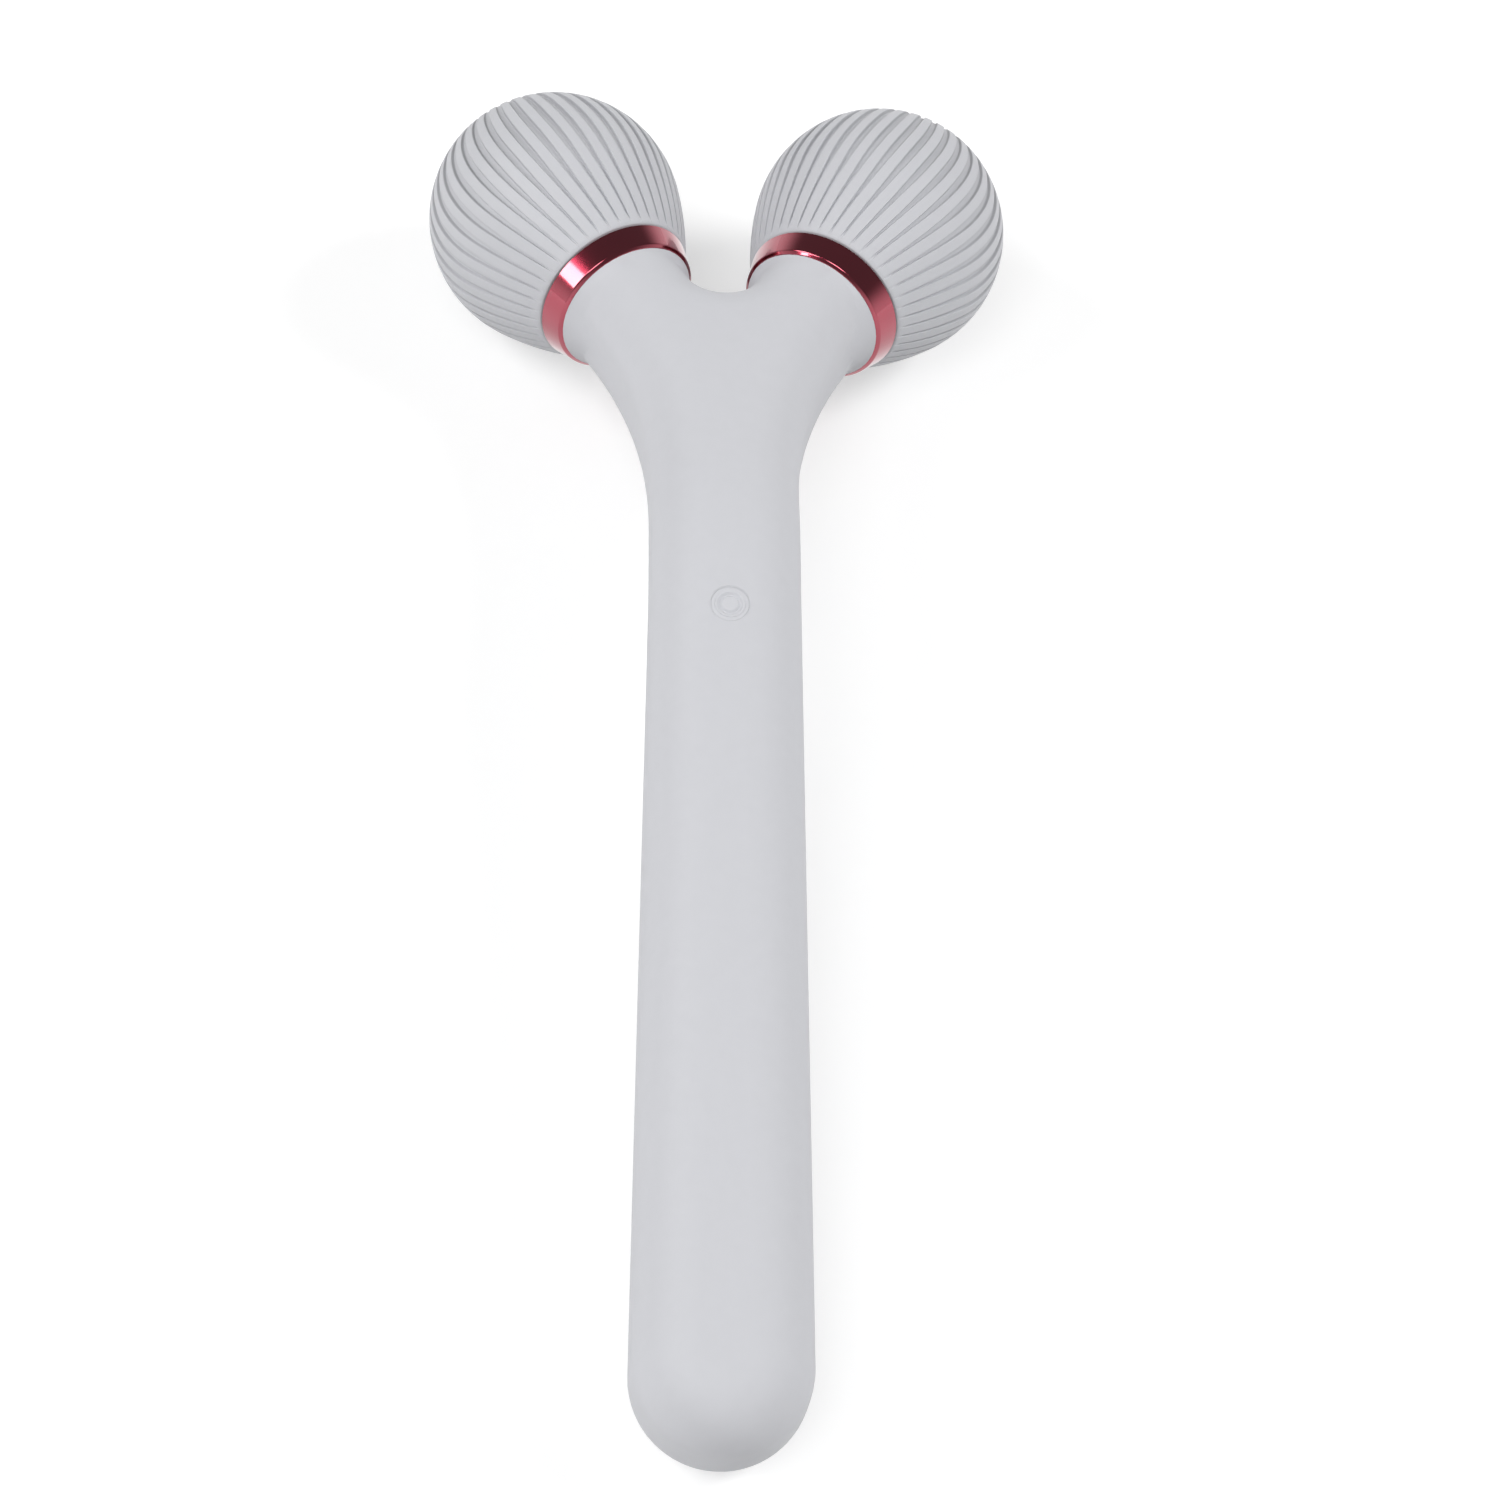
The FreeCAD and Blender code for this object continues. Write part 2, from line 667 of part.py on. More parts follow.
def motor_pieces(nest):
    """Vibration motor on the fork's middle line, in its soft cradle, by name."""
    can = along_handle(motor_radius, motor_from_bend, motor_front)
    bearing_end = motor_front - motor_bearing_depth
    can = can.cut(along_handle(shaft_radius + shaft_gap, bearing_end, motor_front + overrun))
    shaft = along_handle(shaft_radius, bearing_end + shaft_gap, motor_front + shaft_length)
    weight_back = motor_front + weight_from_motor
    weight_front = weight_back + weight_length
    lobe = along_handle(weight_radius, weight_back, weight_front)
    past = weight_radius + overrun
    lobe = lobe.cut(block(past, weight_back - overrun, weight_front + overrun, 0, past))
    weight = lobe.fuse(along_handle(weight_hub_radius, weight_back, weight_front))
    weight = weight.cut(along_handle(shaft_radius + press_gap, weight_back - overrun, weight_front + overrun))
    slot_back = motor_from_bend + cradle_margin
    slot_front = motor_front - cradle_margin
    slot = block(body_thickness, slot_back, slot_front, -body_thickness, body_thickness)
    cradle = nest.common(placed(slot, fork_place))
    hole = along_handle(motor_radius + press_gap, motor_from_bend - overrun, motor_front + overrun)
    return {
        "motor_can": placed(can, fork_place),
        "motor_shaft": placed(shaft, fork_place),
        "motor_weight": placed(weight.removeSplitter(), fork_place),
        "motor_cradle": cradle.cut(placed(hole, fork_place)),
    }


def resting_place():
    """Placement that lays the roller on its two balls and the end of its handle, button up."""
    ball = fork_place.multVec(ball_centre)
    heel = Vector(0, end_centre - (end_radius - edge_roll), edge_roll - half_thickness)
    reach = math.hypot(ball.y - heel.y, ball.z - heel.z)
    slope = math.atan2(heel.z - ball.z, ball.y - heel.y) + math.asin((ball_radius - edge_roll) / reach)
    turn = Rotation(Vector(1, 0, 0), math.degrees(slope))
    ball_turned = turn.multVec(ball)
    brow = turn.multVec(Vector(0, heel.y, -heel.z))
    middle = (ball_turned.y + ball_radius + brow.y - edge_roll) / 2
    return Placement(Vector(0, -middle, ball_radius - ball_turned.z), turn)


def main():
    """Builds every piece, lays the assembly down and writes one file for each."""
    pieces = handle_pieces()
    for name, piece in roller_pieces().items():
        pieces["right_" + name] = piece
        pieces["left_" + name] = other_side(piece)
    rest = resting_place()
    os.makedirs("parts", exist_ok=True)
    for name, piece in pieces.items():
        placed(piece, rest).exportStep("parts/" + name + ".step")


main()
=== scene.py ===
"""Studio scene of a handheld sonic facial roller with ribbed rollers and bright neck rings."""
import json
import logging
import math
from dataclasses import dataclass
from enum import Enum
from typing import Iterable, Sequence

import bmesh
import bpy
from mathutils import Matrix, Vector


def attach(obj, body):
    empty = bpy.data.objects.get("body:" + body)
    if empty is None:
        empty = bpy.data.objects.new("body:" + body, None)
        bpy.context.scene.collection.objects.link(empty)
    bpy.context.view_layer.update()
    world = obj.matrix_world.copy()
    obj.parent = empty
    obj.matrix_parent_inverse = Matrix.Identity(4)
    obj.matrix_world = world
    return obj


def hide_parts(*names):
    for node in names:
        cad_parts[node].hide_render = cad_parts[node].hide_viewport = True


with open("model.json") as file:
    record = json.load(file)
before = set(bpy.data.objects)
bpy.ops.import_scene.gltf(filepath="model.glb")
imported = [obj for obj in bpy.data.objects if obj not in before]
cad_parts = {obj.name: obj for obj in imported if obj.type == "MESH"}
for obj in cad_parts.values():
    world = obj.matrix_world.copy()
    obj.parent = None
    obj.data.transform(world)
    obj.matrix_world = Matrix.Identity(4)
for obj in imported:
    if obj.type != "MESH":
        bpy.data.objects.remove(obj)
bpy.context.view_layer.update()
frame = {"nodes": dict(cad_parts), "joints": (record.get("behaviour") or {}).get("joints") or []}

Colour = tuple[float, float, float]
Place = tuple[float, float, float]
Span = tuple[float, float]
Socket = bpy.types.NodeSocket

LOG = logging.getLogger("facial_roller")
MM = 0.001
IMAGE_SIDE = 1512
SENSOR = 36.0
NOISE_DETAIL = 3.0
WELD_DISTANCE = 0.002 * MM
PLAIN_SHARP = 30.0  # degrees from which an edge of a plain piece stays sharp
SHADING_LAYERS = ("custom_normal", "sharp_face", "sharp_edge")
WHITE = (1.0, 1.0, 1.0, 1.0)


class Side(Enum):
    """The two arms, by the sign of their place along X."""

    LEFT = -1
    RIGHT = 1

    @property
    def label(self) -> str:
        """Prefix of the side's node, body and joint names."""
        return self.name.lower()


class Attribute(Enum):
    """Named point values that a mesh hands to its finish."""

    # painted shade of the ribs' grooves, handed from the cover to its finish
    GROOVE = "groove"


class NodeSheet:
    """Node tree with short calls to add and join nodes."""

    def __init__(self, tree: bpy.types.NodeTree) -> None:
        """Takes the tree to write on.

        Args:
            tree: Node tree of a material or a world.
        """
        self.tree = tree

    def add(self, kind: str, **settings: object) -> bpy.types.Node:
        """Adds a node.

        Args:
            kind: Blender's name of the node type.
            settings: Values of the node's own properties.

        Returns:
            The new node.
        """
        node = self.tree.nodes.new(kind)
        for key, value in settings.items():
            setattr(node, key, value)
        return node

    def join(self, source: Socket, target: Socket) -> None:
        """Links an output to an input."""
        self.tree.links.new(source, target)

    def ramp(self, value: Socket, results: Span, limits: Span = (0.0, 1.0), smooth: bool = False) -> Socket:
        """Spreads a value over another range.

        Args:
            value: Output that holds the value.
            results: Results at the two limits.
            limits: Values at which the results are reached.
            smooth: Whether the spread eases in and out.

        Returns:
            The spread value's output.
        """
        spread = self.add("ShaderNodeMapRange", interpolation_type="SMOOTHSTEP" if smooth else "LINEAR")
        spread.inputs["From Min"].default_value, spread.inputs["From Max"].default_value = limits
        spread.inputs["To Min"].default_value, spread.inputs["To Max"].default_value = results
        self.join(value, spread.inputs["Value"])
        return spread.outputs["Result"]

    def combine(self, operation: str, first: Socket, second: Socket) -> Socket:
        """Makes one value of two.

        Args:
            operation: Blender's name of the operation.
            first: Output that holds the first value.
            second: Output that holds the second value.

        Returns:
            The result's output.
        """
        node = self.add("ShaderNodeMath", operation=operation)
        self.join(first, node.inputs[0])
        self.join(second, node.inputs[1])
        return node.outputs[0]


class ShaderSheet(NodeSheet):
    """Node sheet of one material with a Principled shader."""

    def __init__(self, name: str) -> None:
        """Starts a material.

        Args:
            name: Name of the material.
        """
        self.material = bpy.data.materials.new(name)
        self.material.use_nodes = True
        super().__init__(self.material.node_tree)
        self.shader = self.tree.nodes["Principled BSDF"]

    def place(self) -> Socket:
        """Output of the place in the object's own space."""
        return self.add("ShaderNodeTexCoord").outputs["Object"]

    def noise(self, size: float) -> Socket:
        """Noise in the object's own space.

        Args:
            size: Size of one fleck in metres.

        Returns:
            The noise value's output.
        """
        noise = self.add("ShaderNodeTexNoise")
        noise.inputs["Scale"].default_value = 1.0 / size
        noise.inputs["Detail"].default_value = NOISE_DETAIL
        self.join(self.place(), noise.inputs["Vector"])
        return noise.outputs["Fac"]

    def blend(self, share: Socket, first: Colour | Socket, second: Colour | Socket) -> Socket:
        """Mixes two colours.

        Args:
            share: Output that holds the share of the second colour.
            first: Colour, or output that holds one.
            second: Colour, or output that holds one.

        Returns:
            The mixed colour's output.
        """
        mix = self.add("ShaderNodeMix", data_type="RGBA")
        sockets = {socket.identifier: socket for socket in mix.inputs}
        self.join(share, sockets["Factor_Float"])
        for key, colour in (("A_Color", first), ("B_Color", second)):
            if isinstance(colour, Socket):
                self.join(colour, sockets[key])
            else:
                sockets[key].default_value = (*colour, 1.0)
        return next(socket for socket in mix.outputs if socket.identifier == "Result_Color")

    def bump(self, height: Socket, distance: float, strength: float) -> None:
        """Roughens the shader's normal.

        Args:
            height: Output that holds the height.
            distance: Height in metres of a value of 1.
            strength: Share of the effect that shows.
        """
        bump = self.add("ShaderNodeBump")
        bump.inputs["Distance"].default_value = distance
        bump.inputs["Strength"].default_value = strength
        self.join(height, bump.inputs["Height"])
        self.join(bump.outputs["Normal"], self.shader.inputs["Normal"])


def shaded(colour: Colour, factor: float) -> Colour:
    """Colour made darker or lighter by a factor."""
    return tuple(min(channel * factor, 1.0) for channel in colour)


@dataclass(frozen=True)
class Finish:
    """Plain moulded or cast surface with a fine mottle; other finishes build on it."""

    name: str
    colour: Colour
    roughness: float
    metallic: float = 0.0
    mottle: float = 0.06
    mottle_size: float = 1.5 * MM
    grain_size: float = 0.25 * MM
    grain_height: float = 0.01 * MM
    grain_strength: float = 0.3
    grain_spread: float = 0.1

    def material(self) -> bpy.types.Material:
        """Builds the finish's material.

        Returns:
            The new material.
        """
        sheet = ShaderSheet(self.name)
        sheet.shader.inputs["Metallic"].default_value = self.metallic
        sheet.join(self.tint(sheet), sheet.shader.inputs["Base Color"])
        self.texture(sheet)
        return sheet.material

    def tint(self, sheet: ShaderSheet) -> Socket:
        """Mottled colour.

        Args:
            sheet: Node sheet to write on.

        Returns:
            The colour's output.
        """
        dark, light = shaded(self.colour, 1 - self.mottle), shaded(self.colour, 1 + self.mottle)
        return sheet.blend(sheet.noise(self.mottle_size), dark, light)

    def texture(self, sheet: ShaderSheet) -> None:
        """Fine grain in roughness and height.

        Args:
            sheet: Node sheet to write on.
        """
        grain = sheet.noise(self.grain_size)
        smooth, rough = self.roughness * (1 - self.grain_spread), self.roughness * (1 + self.grain_spread)
        sheet.join(sheet.ramp(grain, (smooth, rough)), sheet.shader.inputs["Roughness"])
        sheet.bump(grain, self.grain_height, self.grain_strength)


@dataclass(frozen=True)
class SoftTouch(Finish):
    """Matte soft-touch silicone with a fine powdery grain."""

    sheen: float = 0.12
    sheen_roughness: float = 0.5
    specular: float = 0.4

    def texture(self, sheet: ShaderSheet) -> None:
        """Powdery grain with a faint sheen.

        Args:
            sheet: Node sheet to write on.
        """
        super().texture(sheet)
        sheet.shader.inputs["Sheen Weight"].default_value = self.sheen
        sheet.shader.inputs["Sheen Roughness"].default_value = self.sheen_roughness
        sheet.shader.inputs["Specular IOR Level"].default_value = self.specular


@dataclass(frozen=True)
class SiliconeWithPaintedGrooveShade(SoftTouch):
    """Soft-touch silicone with painted shade: its groove walls and floors are painted darker than its lands.
    """

    # painted shade: the grooves' colour is the land colour times this factor
    painted_shade_tone: float = 0.68

    def tint(self, sheet: ShaderSheet) -> Socket:
        """Mottled colour, with painted shade that darkens it down in the grooves.

        Args:
            sheet: Node sheet to write on.

        Returns:
            The colour's output.
        """
        land = super().tint(sheet)
        # painted shade: the groove attribute blends the colour towards the darker one
        groove = sheet.add("ShaderNodeAttribute", attribute_name=Attribute.GROOVE.value)
        return sheet.blend(groove.outputs["Fac"], land, shaded(self.colour, self.painted_shade_tone))


@dataclass(frozen=True)
class LacqueredMetal(Finish):
    """Polished metal under a clear coat, with hair-fine polishing marks."""

    coat: float = 1.0
    coat_ior: float = 1.7
    coat_roughness: float = 0.06

    def texture(self, sheet: ShaderSheet) -> None:
        """Fine polishing marks below a clear coat.

        Args:
            sheet: Node sheet to write on.
        """
        super().texture(sheet)
        sheet.shader.inputs["Coat Weight"].default_value = self.coat
        sheet.shader.inputs["Coat IOR"].default_value = self.coat_ior
        sheet.shader.inputs["Coat Roughness"].default_value = self.coat_roughness


SKIN_GREY: Colour = (0.60, 0.605, 0.635)
BUTTON_GREY = shaded(SKIN_GREY, 1.02)
COVER_GREY = shaded(SKIN_GREY, 0.96)
BURGUNDY: Colour = (0.36, 0.03, 0.06)
SKIN_GRAIN = 0.22 * MM

SKIN = SoftTouch(
    "soft_touch_skin", SKIN_GREY, 0.62, mottle=0.018, grain_size=SKIN_GRAIN, grain_height=0.012 * MM
)
BUTTON = SoftTouch("soft_touch_button", BUTTON_GREY, 0.58, mottle=0.018, grain_size=SKIN_GRAIN)
# finish of the ribbed covers, with painted shade in the grooves
COVER_WITH_PAINTED_SHADE = SiliconeWithPaintedGrooveShade("ribbed_silicone", COVER_GREY, 0.55, mottle=0.02, grain_size=0.3 * MM)
CAP = SoftTouch("cap_silicone", SKIN_GREY, 0.5, mottle=0.02)
TRIM = LacqueredMetal("burgundy_trim", BURGUNDY, 0.16, metallic=1.0, mottle=0.05, grain_height=0.002 * MM)
SHELL = Finish("moulded_shell", (0.10, 0.10, 0.11), 0.5)
SEAT = Finish("charging_seat", (0.32, 0.32, 0.34), 0.45)
BEARING = Finish("bearing_polymer", (0.72, 0.70, 0.62), 0.4)
STEEL = Finish("turned_steel", (0.56, 0.56, 0.58), 0.28, metallic=1.0)
BOARD = Finish("coated_board", (0.03, 0.16, 0.06), 0.4, mottle=0.15)
RESIN = Finish("chip_resin", (0.02, 0.02, 0.022), 0.5)
CELL = Finish("cell_sleeve", (0.05, 0.16, 0.38), 0.35)
GOLD = Finish("plated_contact", (0.83, 0.62, 0.28), 0.22, metallic=1.0)


def dress(piece: bpy.types.Object, material: bpy.types.Material) -> None:
    """Gives a piece one material in place of those it came with."""
    piece.data.materials.clear()
    piece.data.materials.append(material)


class Wardrobe:
    """Materials made once and shared by every piece of the same finish."""

    def __init__(self) -> None:
        """Starts empty."""
        self.made: dict[str, bpy.types.Material] = {}

    def of(self, finish: Finish) -> bpy.types.Material:
        """Material of a finish, made on first use."""
        if finish.name not in self.made:
            self.made[finish.name] = finish.material()
        return self.made[finish.name]

    def dress_nodes(self, finish: Finish, nodes: Iterable[str]) -> None:
        """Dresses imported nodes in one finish.

        Args:
            finish: Finish to use.
            nodes: Names of the nodes.
        """
        for node in nodes:
            dress(frame["nodes"][node], self.of(finish))


def eased(value: float, start: float, end: float) -> float:
    """Smooth step from 0 at the start to 1 at the end."""
    share = min(max((value - start) / (end - start), 0.0), 1.0)
    return share * share * (3 - 2 * share)


def joint_named(name: str) -> dict:
    """Packed joint of that name."""
    return next(joint for joint in frame["joints"] if joint["name"] == name)


def smooth_shade(mesh: bpy.types.Mesh, sharp: float) -> None:
    """Shades a mesh smooth, apart from edges that bend by an angle in degrees or more."""
    mesh.polygons.foreach_set("use_smooth", [True] * len(mesh.polygons))
    mesh.set_sharp_from_angle(angle=math.radians(sharp))


def placed(name: str, data: bpy.types.ID) -> bpy.types.Object:
    """New object of a mesh, light or camera, linked to the scene."""
    piece = bpy.data.objects.new(name, data)
    bpy.context.scene.collection.objects.link(piece)
    return piece


def new_piece(
    name: str, points: Sequence[Vector], faces: Sequence[Sequence[int]], sharp: float
) -> bpy.types.Object:
    """Smooth-shaded mesh object in the row frame.

    Args:
        name: Name of the object and its mesh.
        points: Corner places in metres.
        faces: Corner numbers of each face.
        sharp: Angle in degrees from which an edge stays sharp.

    Returns:
        The new object, linked to the scene.
    """
    mesh = bpy.data.meshes.new(name)
    mesh.from_pydata([tuple(point) for point in points], [], [tuple(face) for face in faces])
    smooth_shade(mesh, sharp)
    mesh.update()
    return placed(name, mesh)


def weld(mesh: bpy.types.Mesh) -> None:
    """Merges points of a mesh that lie together."""
    form = bmesh.new()
    form.from_mesh(mesh)
    bmesh.ops.remove_doubles(form, verts=form.verts, dist=WELD_DISTANCE)
    form.to_mesh(mesh)
    form.free()


def looped_faces(rows: int, columns: int, flip: bool, closed: bool = True) -> list[tuple[int, int, int, int]]:
    """Quads of a grid that is closed round the axis.

    Args:
        rows: Points along the profile.
        columns: Points round the axis.
        flip: Whether the faces are turned over.
        closed: Whether the profile is closed too.

    Returns:
        Corner numbers of each quad, row by row.
    """
    faces = []
    for row in range(rows if closed else rows - 1):
        here, after = row * columns, (row + 1) % rows * columns
        for column in range(columns):
            beside = (column + 1) % columns
            quad = (here + column, after + column, after + beside, here + beside)
            faces.append(quad[::-1] if flip else quad)
    return faces


@dataclass(frozen=True)
class Axis:
    """Axis of a turned piece in the row frame, with the directions square to it."""

    centre: Vector
    along: Vector
    across: Vector
    normal: Vector

    def point(self, radius: float, height: float, turn: float) -> Vector:
        """Place at a radius, a height along the axis and a turn in radians."""
        outward = self.across * math.cos(turn) - self.normal * math.sin(turn)
        return self.centre + outward * radius + self.along * height

    @property
    def mirrored(self) -> bool:
        """Whether turns run the other way round."""
        return self.across.cross(self.normal).dot(self.along) > 0

    def turned(self, name: str, rows: Sequence[Span], columns: int) -> bpy.types.Object:
        """Turns a profile about the axis; one that starts on the axis is left open and ends there.

        Args:
            name: Name of the piece.
            rows: Radius and height of each point of the profile, up the outside and then inwards.
            columns: Points round the axis.

        Returns:
            The turned piece.
        """
        turns = [2 * math.pi * column / columns for column in range(columns)]
        points = [self.point(radius, height, turn) for radius, height in rows for turn in turns]
        faces = looped_faces(len(rows), columns, not self.mirrored, closed=rows[0][0] > 0)
        piece = new_piece(name, points, faces, PLAIN_SHARP)
        weld(piece.data)
        return piece


@dataclass(frozen=True)
class Axle(Axis):
    """Axis of one roller, its turns mirrored on the left."""

    side: Side

    @classmethod
    def of(cls, side: Side) -> "Axle":
        """Reads a roller's axis from its joint.

        Args:
            side: Which arm.

        Returns:
            The axis.
        """
        joints = {each: joint_named(each.label + "_roller_spin") for each in Side}
        axes = {each: Vector(joints[each]["axis"]).normalized() for each in Side}
        normal = axes[Side.RIGHT].cross(axes[Side.LEFT]).normalized()
        across = axes[side].cross(normal) * side.value
        return cls(Vector(joints[side]["pos_m"]), axes[side], across, normal, side)


@dataclass(frozen=True)
class RibbedRoller:
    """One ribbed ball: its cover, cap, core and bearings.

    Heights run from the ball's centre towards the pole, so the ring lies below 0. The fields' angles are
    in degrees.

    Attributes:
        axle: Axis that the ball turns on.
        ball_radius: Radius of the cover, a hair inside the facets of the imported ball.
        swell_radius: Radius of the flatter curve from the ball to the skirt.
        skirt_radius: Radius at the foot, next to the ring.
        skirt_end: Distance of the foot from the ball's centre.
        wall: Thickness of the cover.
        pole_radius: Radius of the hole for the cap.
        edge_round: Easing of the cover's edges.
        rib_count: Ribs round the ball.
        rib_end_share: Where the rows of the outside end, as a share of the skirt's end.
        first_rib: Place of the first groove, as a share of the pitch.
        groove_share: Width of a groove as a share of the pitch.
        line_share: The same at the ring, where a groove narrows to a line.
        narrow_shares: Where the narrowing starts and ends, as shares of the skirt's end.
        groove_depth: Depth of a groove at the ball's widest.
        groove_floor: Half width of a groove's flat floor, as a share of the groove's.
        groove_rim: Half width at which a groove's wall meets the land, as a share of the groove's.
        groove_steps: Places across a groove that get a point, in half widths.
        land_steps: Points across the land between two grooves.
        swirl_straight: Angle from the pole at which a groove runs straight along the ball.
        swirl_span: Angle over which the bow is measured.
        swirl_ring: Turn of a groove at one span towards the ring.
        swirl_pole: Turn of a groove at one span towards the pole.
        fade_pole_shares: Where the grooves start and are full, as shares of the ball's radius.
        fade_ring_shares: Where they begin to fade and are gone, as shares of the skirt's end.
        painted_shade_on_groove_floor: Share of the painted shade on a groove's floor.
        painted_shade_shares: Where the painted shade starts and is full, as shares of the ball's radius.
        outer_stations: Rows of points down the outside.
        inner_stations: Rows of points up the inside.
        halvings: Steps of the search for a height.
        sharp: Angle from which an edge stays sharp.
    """

    axle: Axle
    ball_radius: float = 14.997 * MM
    swell_radius: float = 45.0 * MM
    skirt_radius: float = 9.75 * MM
    skirt_end: float = 14.04 * MM
    wall: float = 1.7 * MM
    pole_radius: float = 5.4 * MM
    edge_round: float = 0.15 * MM
    rib_count: int = 44
    rib_end_share: float = 0.98
    first_rib: float = 0.5
    groove_share: float = 0.46
    line_share: float = 0.2
    narrow_shares: Span = (0.0, 0.9)
    groove_depth: float = 0.4 * MM
    groove_floor: float = 0.6
    groove_rim: float = 1.05
    groove_steps: tuple[float, ...] = (-1.2, -1.05, -0.97, -0.88, -0.77, -0.68, -0.6, -0.25,
                                       0.25, 0.6, 0.68, 0.77, 0.88, 0.97, 1.05, 1.2)
    land_steps: int = 5
    swirl_straight: float = 85.0
    swirl_span: float = 55.0
    swirl_ring: float = 6.0
    swirl_pole: float = 14.0
    fade_pole_shares: Span = (0.91, 0.55)
    fade_ring_shares: Span = (0.9, 0.99)
    # painted shade in the grooves: the next two fields set how dark and where it is painted
    painted_shade_on_groove_floor: float = 0.35
    painted_shade_shares: Span = (-0.85, 0.25)
    outer_stations: int = 72
    inner_stations: int = 12
    halvings: int = 40
    sharp: float = 50.0

    def swell(self) -> tuple[float, float, float]:
        """Where the swell leaves the ball.

        Returns:
            The angle from the pole, and the side and height of the swell's centre.
        """
        offset = self.swell_radius - self.ball_radius
        corner = math.hypot(self.skirt_end, self.skirt_radius)
        reach = (self.swell_radius ** 2 - offset ** 2 - corner ** 2) / (2 * offset)
        angle = math.pi - math.atan2(self.skirt_radius, self.skirt_end) - math.acos(reach / corner)
        return angle, -offset * math.sin(angle), -offset * math.cos(angle)

    def profile(self, height: float, inset: float) -> float:
        """Radius at a height.

        Args:
            height: Height on the ball.
            inset: How far inside the outer surface.

        Returns:
            The radius there.
        """
        angle, side, middle = self.swell()
        if height > (self.ball_radius - inset) * math.cos(angle):
            return math.sqrt(max((self.ball_radius - inset) ** 2 - height ** 2, 0.0))
        return side + math.sqrt((self.swell_radius - inset) ** 2 - (height - middle) ** 2)

    def swirl(self, radius: float, height: float) -> float:
        """Turn of a groove in radians at a place on the roller."""
        away = (math.degrees(math.atan2(radius, height)) - self.swirl_straight) / self.swirl_span
        return -math.radians((self.swirl_ring if away > 0 else self.swirl_pole) * away ** 2)

    def sunk(self, height: float) -> float:
        """Share of the full groove depth at a height."""
        start, full = (share * self.ball_radius for share in self.fade_pole_shares)
        last, gone = (-share * self.skirt_end for share in self.fade_ring_shares)
        return eased(height, start, full) * eased(height, gone, last)

    def shade(self, height: float) -> float:
        """Share of the painted shade in the grooves at a height; it pales towards the ring."""
        start, full = (share * self.ball_radius for share in self.painted_shade_shares)
        return eased(height, start, full)

    def painted_shade_by_depth(self, form: float) -> float:
        """Share of the painted shade by depth: full halfway down the walls and slight on the floor."""
        return self.painted_shade_on_groove_floor * form + 4 * form * (1 - form)

    def groove_form(self, share: float) -> float:
        """Groove of steep walls, 1 on its flat floor and 0 on the land."""
        return eased(abs(share), self.groove_rim, self.groove_floor)

    def rib_samples(self, height: float) -> list[Span]:
        """Places across one pitch at a height; a groove narrows to a line near the ring.

        Args:
            height: Height on the ball.

        Returns:
            Place as a share of the pitch and depth as a share of the full depth, for each sample.
        """
        start, end = (-share * self.skirt_end for share in self.narrow_shares)
        half = (self.groove_share + (self.line_share - self.groove_share) * eased(height, start, end)) / 2
        land = self.groove_steps[-1] * half
        gap = (1 - 2 * land) / (self.land_steps + 1)
        places = [step * half for step in self.groove_steps]
        places += [land + gap * step for step in range(1, self.land_steps + 1)]
        return [(place, self.groove_form(min(place, 1 - place) / half)) for place in places]

    def loops(self) -> list[tuple[float, float, bool]]:
        """Closed profile of the cover, from the pole's edge down the outside and back up the inside.

        Returns:
            Radius, height and whether the ribs show there, for each point.
        """
        top = math.sqrt(self.ball_radius ** 2 - self.pole_radius ** 2)
        bend = math.acos(top / self.ball_radius)
        third = self.edge_round / 3
        rows = [(self.pole_radius, top - self.edge_round, False)]
        rows.append((self.pole_radius + third, top - third, False))
        corner = math.hypot(self.skirt_end, self.skirt_radius)
        low = math.acos(-self.skirt_end * self.rib_end_share / corner)
        for station in range(1, self.outer_stations + 1):
            angle = bend + (low - bend) * station / self.outer_stations
            height = self.height_at(angle)
            rows.append((self.profile(height, 0.0), height, True))
        foot = -self.skirt_end
        rows.append((self.profile(foot + self.edge_round, 0.0) - third, foot + third, False))
        rows.append((self.skirt_radius - self.edge_round, foot, False))
        rows.append((self.skirt_radius - self.wall, foot, False))
        ceiling = math.sqrt((self.ball_radius - self.wall) ** 2 - self.pole_radius ** 2)
        for station in range(1, self.inner_stations):
            height = foot + (ceiling - foot) * station / self.inner_stations
            rows.append((self.profile(height, self.wall), height, False))
        rows.append((self.pole_radius, ceiling, False))
        return rows

    def height_at(self, angle: float) -> float:
        """Height on the outer surface at an angle, found by halving.

        Args:
            angle: Angle from the pole in radians.

        Returns:
            The height.
        """
        low, high = -self.skirt_end, self.ball_radius
        for _ in range(self.halvings):
            middle = (low + high) / 2
            if math.atan2(self.profile(middle, 0.0), middle) > angle:
                low = middle
            else:
                high = middle
        return (low + high) / 2

    def build_cover(self) -> bpy.types.Object:
        """Makes the ribbed cover in place of its plainer solid.

        Returns:
            The cover.
        """
        rows = self.loops()
        pitch = 2 * math.pi / self.rib_count
        points, grooves = [], []
        for radius, height, ribbed in rows:
            swirl = self.swirl(radius, height)
            sunk = self.sunk(height) if ribbed else 0.0
            # share of the painted shade at this height, paler towards the ring
            shade = sunk * self.shade(height)
            outward = Vector((radius, height)).normalized()
            samples = self.rib_samples(height)
            for rib in range(self.rib_count):
                for place, form in samples:
                    depth = self.groove_depth * radius / self.ball_radius * sunk * form
                    turn = (rib + self.first_rib + place) * pitch + swirl
                    spot = (radius - outward.x * depth, height - outward.y * depth)
                    points.append(self.axle.point(*spot, turn))
